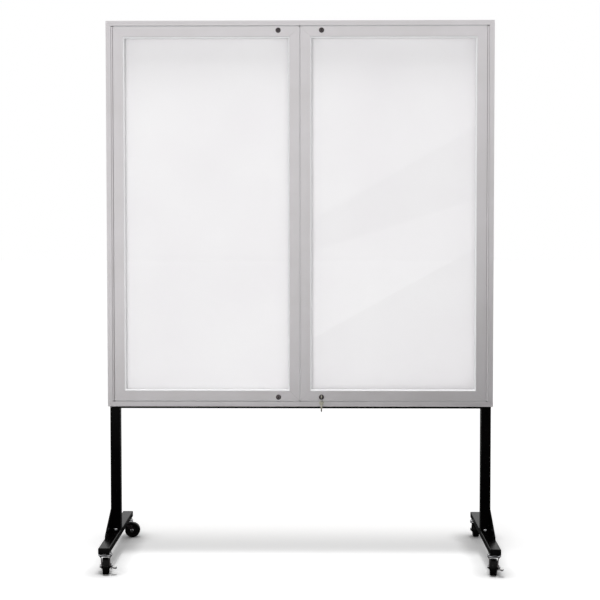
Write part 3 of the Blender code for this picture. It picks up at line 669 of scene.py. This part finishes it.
for hand in hands:
    end = "front_" + hand
    body = "brake_" + end
    swivel, axis, trail, reach, eye_z = caster_frame(end)
    centre = swivel + trail * reach + eye_z * upward
    seat = leg_outside + 2 * fork_play
    place = np.array([trail, axis, upward])
    turn = np.linspace(-math.pi / 4, math.pi * 3 / 4, 14)
    eye = eye_outside * np.stack([-np.cos(turn), np.sin(turn)], axis=1)
    outline = np.concatenate([eye, [(0.010, 0.0012), (0.0235, -0.0002), (0.0235, -0.0042), (0.010, -0.0052)]])
    inset = (outline - outline.mean(axis=0)) * 0.93 + outline.mean(axis=0)
    outer = seat + lever_thickness
    layers = ((inset, seat), (outline, seat + arm_edge), (outline, outer - arm_edge), (inset, outer))
    loops = np.array([np.insert(flat, 1, away, axis=1) for flat, away in layers])
    # Arm and pedal get a dark base colour: painted shade and painted dark reflections.
    arm = lofted_piece("fine_lever_arm_" + hand, loops @ place + centre, painted_shade_nickel, body)
    section = rounded_loop(0.0142, 0.0018, 0.0008, 3) - (0, 0.0009)
    path = [(pedal_across, seat + away, up, lean) for away, up, lean in (
        (0.0009, 0.0, 0.0), (0.0022, -0.0004, -0.2), (0.0072, -0.0020, -0.25), (0.0117, -0.0034, -0.15),
        (0.0135, -0.0036, 0.25), (0.0151, -0.0028, 0.7), (0.0160, -0.0010, 1.1))]
    loops = lever_loops(section, path)
    pedal = lofted_piece("fine_lever_pedal_" + hand, loops @ place + centre, painted_shade_nickel, body)
    for piece in (arm, pedal):
        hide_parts("brake_lever_" + end)
print("brake levers", 2)

# %% [markdown]
# ## Bolts in the feet
# A round-headed bolt on a washer clamps each gusset to its foot. The dome catches a bright spot, which
# is how the photograph shows it.

# %% Foot bolts
dome_height, washer_height, washer_half = 0.0035, 0.0010, 0.0078
for hand in hands:
    low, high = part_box(hand + "_foot_bolt")
    x, y = (low.x + high.x) / 2, (low.y + high.y) / 2
    washer = high.z - dome_height
    seat = washer - washer_height
    angle = np.linspace(0, math.pi / 2, 9)
    dome = np.stack([0.0068 * np.sin(angle), washer + dome_height * np.cos(angle)], axis=1)
    nut_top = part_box(hand + "_foot")[0].z - 0.0003
    nut_low = nut_top - 0.0060
    rest = np.array([(washer_half, washer), (washer_half, seat), (0.004, seat), (0.004, nut_top),
                     (0.0075, nut_top), (0.0075, nut_low + 0.0010), (0.0066, nut_low), (0, nut_low)])
    profile = np.concatenate([dome, rest])
    bolt = turned_piece(
        "fine_foot_bolt_" + hand, profile, False, (x, y, 0), (0, 0, 1), zinc, "stand", 32)
    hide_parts(hand + "_foot_bolt")
print("bolt seat at", round(seat, 4))

# %% [markdown]
# ## End caps
# Every open tube end is closed by a moulded cap with a thin domed flange, so the feet show black ends
# and no hollow. The caps of the posts sit at their tops, behind the cabinet.

# %% Caps
flange_height = 0.0016


def cap_loops(width, height, corner):
    """Rounded rectangles along the tube: the plug inside it, the flange, and three steps of a dome."""
    steps = [(-0.012, 0.0040, 0.0012), (-0.0005, 0.0036, 0.0012), (0.0003, 0.0036, 0.0012),
             (0.0003, 0.0, corner), (flange_height * 0.7, 0.0, corner), (flange_height, 0.0009, corner),
             (flange_height + 0.0003, 0.0030, corner)]
    return [(along, rounded_loop(width - shrink, height - shrink, round_off))
            for along, shrink, round_off in steps]


def cap_piece(name, width, height, corner, centre, across, up, outward):
    """Place the cap's loops with three directions: across, up and outward along the tube."""
    across, up, outward = np.array([across, up, outward], float)
    loops = np.array([centre + flat[:, :1] * across + flat[:, 1:] * up + along * outward
                      for along, flat in cap_loops(width, height, corner)])
    return lofted_piece(name, loops, cap_plastic, "stand")


for hand in hands:
    low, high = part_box(hand + "_foot")
    middle = (low + high) / 2
    for end_name, y, outward in (("front", low.y, -1.0), ("rear", high.y, 1.0)):
        cap_piece(f"foot_cap_{end_name}_{hand}", high.x - low.x, high.z - low.z, 0.002,
                  np.array([middle.x, y, middle.z]), (1.0, 0, 0), (0, 0, 1.0), (0, outward, 0))
    low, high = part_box(hand + "_post")
    middle = (low + high) / 2
    cap_piece("post_cap_" + hand, high.x - low.x, high.y - low.y, 0.0025,
              np.array([middle.x, middle.y, high.z]), (1.0, 0, 0), (0, 1.0, 0), (0, 0, 1.0))
print("caps", 6)

# %% [markdown]
# ## Cam locks
# A cam lock is a threaded barrel with a polished flange, held from behind by a hexagonal nut. The plug
# inside it takes the key. The flange is lathed with a rounded shoulder and gets a dark base colour that
# paints in the dark reflections of the discs in the photograph, and the nut is a six-sided loft.

# %% Lock barrels
flange_radius, barrel_radius, nut_radius, nut_bevel = 0.0083, 0.0072, 0.0092, 0.0086
bore_radius, face_radius = 0.0053, 0.0056
for level in ("top", "bottom"):
    for hand in hands:
        node = f"lock_barrel_{level}_{hand}"
        low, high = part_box(node)
        x, z = (low.x + high.x) / 2, (low.z + high.z) / 2
        front, back = low.y, high.y
        seat = front + 0.0022
        # The shoulder is a quarter ellipse: radius with the sine, depth with one minus the cosine.
        angle = np.linspace(0, math.pi / 2, 10)
        shoulder = np.stack([face_radius + (flange_radius - face_radius) * np.sin(angle),
                             front + (seat - front - 0.0002) * (1 - np.cos(angle))], axis=1)
        corners = [(flange_radius, seat), (barrel_radius, seat), (barrel_radius, back - 0.0004),
                   (0.0066, back), (bore_radius, back), (bore_radius, front)]
        profile = np.concatenate([shoulder, corners])
        body = hand + "_door"
        # The flange's dark base colour is painted dark reflection and painted shade.
        barrel = turned_piece(
            "fine_" + node, profile, True, (x, 0, z), (0, 1, 0), painted_shade_nickel, body, 48)
        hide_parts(node)
        turn = np.arange(6) * math.pi / 3
        cuts = ((0.0024, nut_bevel), (0.0021, nut_radius), (0.0007, nut_radius), (0.0003, nut_bevel))
        nut = np.array([np.insert(circle(radius, turn) + (x, z), 1, back - ahead, axis=1)
                        for ahead, radius in cuts])
        lofted_piece(f"lock_nut_{level}_{hand}", nut, zinc, body)
print("lock flange mm across", flange_radius * 2000)

# %% [markdown]
# ## Keys
# Keys are stamped from sheet, so each is a flat outline with a hole and softly rounded edges. The cuts
# on the blade are a row of unequal V notches, and a spare hangs from the first key's bow.

# %% Keys
key_thickness = 0.0016
key_edge = 0.0002
key_bow, key_blade, key_hole = 0.008, 0.0205, 0.004
spare_bow, spare_blade, spare_hole = 0.007, 0.019, 0.0032
hole_radius = 0.0028


def key_loops(bow_radius, blade_length, hole_x, hole_y):
    """The bow's arc, then the blade with its cuts, then the hole, all in the plane of the key."""
    half = 0.0025
    shoulder = math.asin(half / bow_radius)
    turn = np.linspace(shoulder, math.tau - shoulder, 40)
    bow = circle(bow_radius, turn)
    start = bow_radius + 0.0045
    reach = bow_radius + 0.003 + blade_length
    cuts = np.linspace(start, reach - 0.003, 11)
    depth = np.array([0, 1.0, 0.2, 0.7, 0.1, 1.2, 0.4, 0.9, 0.2, 1.1, 0.3]) * 0.001
    teeth = np.stack([cuts[::-1], half - depth[::-1]], axis=1)
    blade = np.concatenate([[(reach - half, -half), (reach, 0), (reach - 0.0015, 0.0012)], teeth])
    hole_turn = np.linspace(0, math.tau, 24, endpoint=False)
    hole = circle(hole_radius, hole_turn) + (hole_x, hole_y)
    return np.concatenate([bow, blade]), hole


def plate_piece(name, loops, place, body):
    """Fill flat loops as a bevelled curve, make it a mesh, and carry it by a 4 by 3 frame of directions."""
    curve = bpy.data.curves.new(name, "CURVE")
    curve.dimensions = "2D"
    curve.fill_mode = "BOTH"
    curve.extrude = key_thickness / 2 - key_edge
    curve.bevel_depth = key_edge
    curve.bevel_resolution = 1
    curve.offset = -key_edge
    for loop in loops:
        spline = curve.splines.new("POLY")
        spline.points.add(len(loop) - 1)
        flat_points = np.column_stack([loop, np.zeros(len(loop)), np.ones(len(loop))])
        spline.points.foreach_set("co", flat_points.ravel())
        spline.use_cyclic_u = True
    guide = add_object(name, curve)
    flat = bpy.data.meshes.new_from_object(guide.evaluated_get(bpy.context.evaluated_depsgraph_get()))
    bpy.data.objects.remove(guide)
    points = np.empty(len(flat.vertices) * 3)
    flat.vertices.foreach_get("co", points)
    faces = [list(polygon.vertices) for polygon in flat.polygons]
    origin, *directions = place
    points = points.reshape(-1, 3) @ np.array(directions) + origin
    return make_piece(name, points, faces, nickel_silver, body)


low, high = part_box("key")
key_x = (low.x + high.x) / 2
bow_centre = np.array([key_x, low.y + key_bow, (low.z + high.z) / 2])
place = (bow_centre, (0, 1.0, 0), (0, 0, 1.0), (1.0, 0, 0))
loops = key_loops(key_bow, key_blade, 0, -key_hole)
key = plate_piece("fine_key", loops, place, "key")
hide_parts("key")
low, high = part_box("spare_key")
bow_centre = np.array([key_x, (low.y + high.y) / 2, high.z - spare_bow])
place = (bow_centre, (0, 0, -1.0), (1.0, 0, 0), (0, -1.0, 0))
loops = key_loops(spare_bow, spare_blade, -spare_hole, 0)
spare = plate_piece("fine_spare_key", loops, place, "spare_key")
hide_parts("spare_key")
print("key thickness mm", key_thickness * 1000)

# %% [markdown]
# ## Split ring
# The ring is a spring wire wound twice round, so its two turns lie side by side. A circle of points is
# carried along the helix, with the ring's own radial and axial directions.

# %% Split ring
ring_turns = 2
ring_wire = 0.00038
low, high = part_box("key_ring")
ring_centre = np.array((low + high) / 2)
ring_radius = (high.z - low.z) / 2 - 0.0007
t = np.linspace(0, ring_turns * math.tau, 96)
turned = math.radians(45)
across = np.array([math.cos(turned), -math.sin(turned), 0])
normal = np.array([math.sin(turned), math.cos(turned), 0])
radial = np.cos(t)[:, None] * across + np.sin(t)[:, None] * upward
rise = (t / t[-1] - 0.5) * 2 * ring_wire
wire_turn = np.linspace(0, math.tau, 10, endpoint=False)
loops = (ring_centre + ring_radius * radial[:, None] + rise[:, None, None] * normal
         + ring_wire * (np.cos(wire_turn)[:, None] * radial[:, None] + np.sin(wire_turn)[:, None] * normal))
ring = lofted_piece("fine_key_ring", loops, zinc, "key_ring")
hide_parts("key_ring")
print("ring turns", ring_turns)

# %% [markdown]
# ## Seals
# The windows are held by a vinyl bead pressed in from the front and another from behind. A bead is one
# small section carried round the four corners of the opening, so its mitres come by themselves. A dust
# seal on the left door's edge closes the gap between the doors.

# %% Window beads and dust seal
glass_front, glass_back = 0.0062, 0.0094
bead_section = np.array([(0, 0.0008), (0.0006, 0.0006), (0.0012, 0.0010),
                         (0.0042, 0.0056), (0.0044, glass_front), (0, glass_front)])
cabinet_face = 0.016


def bead_piece(name, box, section, body):
    """At each corner the section's inward distance moves both in x and in z, which cuts the mitre."""
    (left, right), (bottom, top), front = box
    corners = ((left, bottom, 1, 1), (right, bottom, -1, 1), (right, top, -1, -1), (left, top, 1, -1))
    inward, depth = section.T
    loops = np.array([np.stack([x + inward * side_x, front + depth, z + inward * side_z], axis=1)
                      for x, z, side_x, side_z in corners])
    return lofted_piece(name, loops, bead_vinyl, body, ring=True)


for hand in hands:
    door = hand + "_door"
    rail_low, rail_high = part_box(door + "_bottom_rail")
    bottom = rail_high.z
    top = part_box(door + "_top_rail")[0].z
    stiles = [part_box(door + "_hinge_stile"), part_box(door + "_meeting_stile")]
    left, right = sorted(stiles, key=lambda box: box[0].x)
    box = ((left[1].x, right[0].x), (bottom, top), rail_low.y)
    bead_piece(door + "_front_bead", box, bead_section, door)
    rear = bead_section * (1, -1) + (0, glass_back + glass_front)
    bead_piece(door + "_rear_bead", box, rear, door)
door_low, door_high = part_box("left_door_meeting_stile")
right_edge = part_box("right_door_meeting_stile")[0].x
seal_width = (right_edge - door_high.x) * 0.78
seal = rounded_loop(seal_width, 0.0026, 0.0005, 3) + (door_high.x + seal_width / 2, door_low.y + 0.0028)
ends_z = (door_low.z + 0.002, door_high.z - 0.002)
loops = np.array([np.insert(seal, 2, z, axis=1) for z in ends_z])
lofted_piece("dust_seal", loops, seal_vinyl, "left_door")
print("seal mm wide", round(seal_width * 1000, 2))

# %% [markdown]
# ## Weather strips
# Thin vinyl strips close the gaps over and under each door, so the gaps read as soft lines and not as
# black slots. The lower strips sit deeper, which leaves the darker line of the photograph.

# %% Weather strips
for level, rail, sunk in (("top", "_top_rail", 0.0008), ("bottom", "_bottom_rail", 0.0042)):
    frame_low, frame_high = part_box("cabinet_" + level + "_rail")
    for hand in hands:
        low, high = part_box(hand + "_door" + rail)
        if level == "top":
            edge, room = high.z, frame_high.z - cabinet_face - high.z
        else:
            edge, room = low.z, frame_low.z + cabinet_face - low.z
        section = rounded_loop(0.0030, abs(room) * 0.78, 0.0003, 3) + (low.y + sunk + 0.0015, edge + room / 2)
        ends_x = (low.x + 0.0002, high.x - 0.0002)
        loops = np.array([np.insert(section, 0, x, axis=1) for x in ends_x])
        lofted_piece(
            f"weather_strip_{level}_{hand}", loops, seal_vinyl, hand + "_door")
print("strip room mm", round(abs(room) * 1000, 2))

# %% [markdown]
# ## Welds
# Each post is welded to its foot. A weld bead is a small tube whose radius swells with every ripple of
# the torch and shrinks at both tips.

# %% Welds
weld_radius = 0.0021
ripple_pitch = 0.0016
tip_length = 0.002


def weld_piece(name, start, end):
    """A tube from start to end: radius times one plus a tenth of a cosine of the run over the pitch."""
    start, end = np.array(start, float), np.array(end, float)
    length = np.linalg.norm(end - start)
    run = np.linspace(0, length, int(length / ripple_pitch * 6))
    swell = 1 + 0.1 * np.cos(run / ripple_pitch * math.tau)
    past = np.maximum(np.abs(run - length / 2) - length / 2 + tip_length, 0) / weld_radius
    tip = np.sqrt(np.clip(1 - past ** 2, 0.02, 1))
    across, upward, along = axis_frame(end - start)
    turn = np.linspace(0, math.tau, 12, endpoint=False)
    ring = circle(1, turn) @ np.array([across, upward])
    loops = start + run[:, None, None] * along + (weld_radius * swell * tip)[:, None, None] * ring
    return lofted_piece(name, loops, enamel, "stand", sharp_degrees=60)


for hand, inner in (("left", 1), ("right", -1)):
    low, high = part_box(hand + "_post")
    z = low.z + 0.0002
    inner_x = high.x if inner > 0 else low.x
    weld_piece("post_weld_back_" + hand, (low.x + 0.002, high.y, z), (high.x - 0.002, high.y, z))
    weld_piece("post_weld_inner_" + hand, (inner_x, low.y + 0.002, z), (inner_x, high.y - 0.002, z))
print("weld ripples per 10 mm", round(0.01 / ripple_pitch, 1))

# %% [markdown]
# ## Screws
# Screws hold the cabinet to the posts and its back frame together. Their heads are lathed, with a hollow
# for the driver.

# %% Screws


def screw_piece(name, place, radius, height):
    """A pan head seen from behind: flat rim, quarter-round shoulder and a hollow drive in the middle."""
    hollow = height - 0.0011
    profile = [(0, hollow), (radius * 0.30, hollow), (radius * 0.36, height), (radius * 0.62, height),
               (radius * 0.86, height * 0.86), (radius, height * 0.45), (radius, 0), (0, 0)]
    turned_piece(name, profile, False, place, (0, 1, 0), zinc, "stand", 20)


for hand in hands:
    low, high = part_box(hand + "_post")
    x = (low.x + high.x) / 2
    for number, z in enumerate(np.linspace(cabinet_bottom + 0.07, high.z - 0.05, 5)):
        screw_piece(f"post_screw_{hand}_{number}", (x, high.y, z), 0.0052, 0.0028)
frame_low, frame_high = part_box("cabinet_left_stile")[0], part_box("cabinet_right_stile")[1]
inset = 0.0075
spots = [(x, z) for z in (frame_low.z + inset, frame_high.z - inset) for x in np.linspace(-0.45, 0.45, 4)]
spots += [(x, z) for x in (frame_low.x + inset, frame_high.x - inset) for z in (1.628, 1.672)]
for number, (x, z) in enumerate(spots):
    screw_piece(f"back_screw_{number}", (x, frame_high.y, z), 0.0034, 0.0016)
print("screws", 10 + len(spots))

# %% [markdown]
# ## Floor, backdrop and light
# The photograph shows the board on white, with a soft grey shadow under it. The floor is a pale
# surface that adds a little light of its own only when the camera, a mirror or a window looks at it,
# so it reads as white while its shadow stays. The world does the same for everything behind.

# %% Floor and world
floor_half = 30.0
floor_gap = 0.0002


def add_stage(name, points, faces, material):
    """A flat part of the studio, which isn't part of the object."""
    mesh = bpy.data.meshes.new(name)
    mesh.from_pydata(points, [], faces)
    mesh.materials.append(material)
    item = add_object(name, mesh)
    return item


def watched(material):
    """One where the camera, a mirror or a window looks, and zero for the light on the object."""
    path = add_node(material, "LightPath").outputs
    seen = add_node(
        material, "Math", {0: path["Is Camera Ray"], 1: path["Is Glossy Ray"]}, operation="MAXIMUM")
    return add_node(material, "Math", {0: seen, 1: path["Is Transmission Ray"]}, operation="MAXIMUM")


floor_paper, floor_shader, where = new_material("floor_paper")
set_inputs(floor_shader, {"Base Color": linear("#ececec"), "Roughness": 0.9, "Specular IOR Level": 0.0})
near_lift, far_lift = 0.44, 0.57
near_reach, far_reach = 0.8, 5.0
away = add_node(floor_paper, "VectorMath", {0: where}, operation="LENGTH")
floor_lift = add_node(floor_paper, "MapRange", {
    "Value": away.outputs["Value"], "From Min": near_reach, "From Max": far_reach,
    "To Min": near_lift, "To Max": far_lift})
lift = add_node(floor_paper, "Math", {0: watched(floor_paper), 1: floor_lift}, operation="MULTIPLY")
# Where something stands close above the floor, its contact shadow takes the lift away.
contact_reach, contact_depth = 0.09, 4.0
contact = add_node(floor_paper, "AmbientOcclusion", {"Distance": contact_reach})
openness = add_node(floor_paper, "Math", {0: contact.outputs["AO"], 1: contact_depth}, operation="POWER")
lift = add_node(floor_paper, "Math", {0: lift, 1: openness}, operation="MULTIPLY")
glow = add_node(floor_paper, "Emission", {"Color": (1, 1, 1, 1), "Strength": lift})
both = add_node(floor_paper, "AddShader", {0: floor_shader, 1: glow})
set_inputs(floor_paper.node_tree.nodes["Material Output"], {"Surface": both})
floor_corners = [(x * floor_half, y * floor_half, 0) for x, y in ((-1, -1), (1, -1), (1, 1), (-1, 1))]
floor = add_stage("studio_floor", floor_corners, [range(4)], floor_paper)
floor.location.z = cad_low.z - floor_gap

world = bpy.data.worlds.new("studio_world")
world.use_nodes = True
bpy.context.scene.world = world
ambient = 0.3
strength = add_node(world, "MapRange", {"Value": watched(world), "To Min": ambient, "To Max": 1.0})
background = world.node_tree.nodes["Background"]
set_inputs(background, {"Strength": strength, "Color": (1, 1, 1, 1)})
print("floor", 2 * floor_half, "m across")

# %% [markdown]
# ## Lamps
# A lamp in front lights the panel, from a little to the left. A weaker one above the board gives the
# panel its soft shade under the doors' top bars. The third shines like an overcast sky, from nearly
# straight above, so the board's shadow on the floor is as wide as the board and soft at its edges.

# %% Soft lamps


def add_lamp(name, kind, place, aim, energy):
    """A lamp turned to look at its aim, which mirrors and windows don't see."""
    data = bpy.data.lights.new(name, kind)
    data.energy = energy
    lamp = add_object(name, data)
    lamp.location = place
    look = np.array(aim) - np.array(place)
    flat = math.hypot(look[0], look[1])
    lamp.rotation_euler = (math.atan2(flat, -look[2]), 0, math.atan2(-look[0], look[1]))
    lamp.visible_glossy = False
    lamp.visible_transmission = False
    return data


middle = (0, 0, (cad_low.z + cad_high.z) / 2)
front_lamp = add_lamp("front_lamp", "AREA", (-0.5, -4.6, 1.3), middle, 70)
front_lamp.size = 1.2
top_lamp = add_lamp("top_lamp", "AREA", (-0.05, -0.80, 4.6), (0, 0, 0), 48)
top_lamp.size = 1.1
sky_height = 4.0
sky_tilt = math.radians(9.7)
sky_lamp = add_lamp("sky_lamp", "SUN", (0, 0, sky_height), (0, sky_height * math.tan(sky_tilt), 0), 0.8)
sky_lamp.angle = math.radians(9.0)
print("lamps", 3)

# %% [markdown]
# ## Flags
# Flags are the dark cards of a studio, and only reflections see them. A black one stands low on the
# right and two lie on the floor, before and behind the stand. They give the bars their darker lower
# right, the chrome its dark bands and the posts their black inner faces. Two grey ones give the right
# window the faint slanting bands of the photograph.

# %% Studio flags


def make_flag(name, points, faces, cloth):
    """A flat card that only mirror-like rays can see."""
    flag = add_stage(name, points, faces, cloth)
    for kind in ("camera", "diffuse", "shadow", "transmission"):
        setattr(flag, "visible_" + kind, False)


def flag_cloth(name, hex_colour):
    """A matt cloth of one colour."""
    cloth, shader, place = new_material(name)
    set_inputs(shader, {"Base Color": linear(hex_colour), "Roughness": 1.0})
    return cloth


flag_y = -2.2
black_cloth = flag_cloth("black_flag_cloth", "#0c0c0c")
grey_cloth = flag_cloth("grey_flag_cloth", "#c4c4c4")
corner_flag = [(-1.6, 0.02), (3.6, 0.02), (3.6, 0.8), (1.6, 0.6), (0.8, 0.25), (0.8, 0.09), (-1.6, 0.07)]
make_flag("corner_flag", [(x, flag_y, z) for x, z in corner_flag], [range(7)], black_cloth)
bands = [(-0.02, 1.05), (0.95, 1.60), (0.95, 1.22), (-0.02, 0.91),
         (-0.02, 0.48), (0.95, 1.02), (0.95, 0.25), (-0.02, 0.25)]
make_flag("band_flags", [(x, flag_y, z) for x, z in bands], [range(4), range(4, 8)], grey_cloth)
card_z = floor.location.z + 0.0001
card = [(-3.0, -2.1), (1.6, -2.1), (1.6, 0.3), (-3.0, 0.3)]
make_flag("floor_card", [(x, y, card_z) for x, y in card], [range(4)], black_cloth)
card = [(-0.62, 0.3), (0.62, 0.3), (0.30, 3.6), (-0.30, 3.6)]
make_flag("rear_floor_card", [(x, y, card_z) for x, y in card], [range(4)], black_cloth)
print("flags at", flag_y)

# %% [markdown]
# ## Size
# The CAD model's box is printed.

# %% Print the CAD box
print("cad", [round(v, 4) for v in cad_low], [round(v, 4) for v in cad_high])
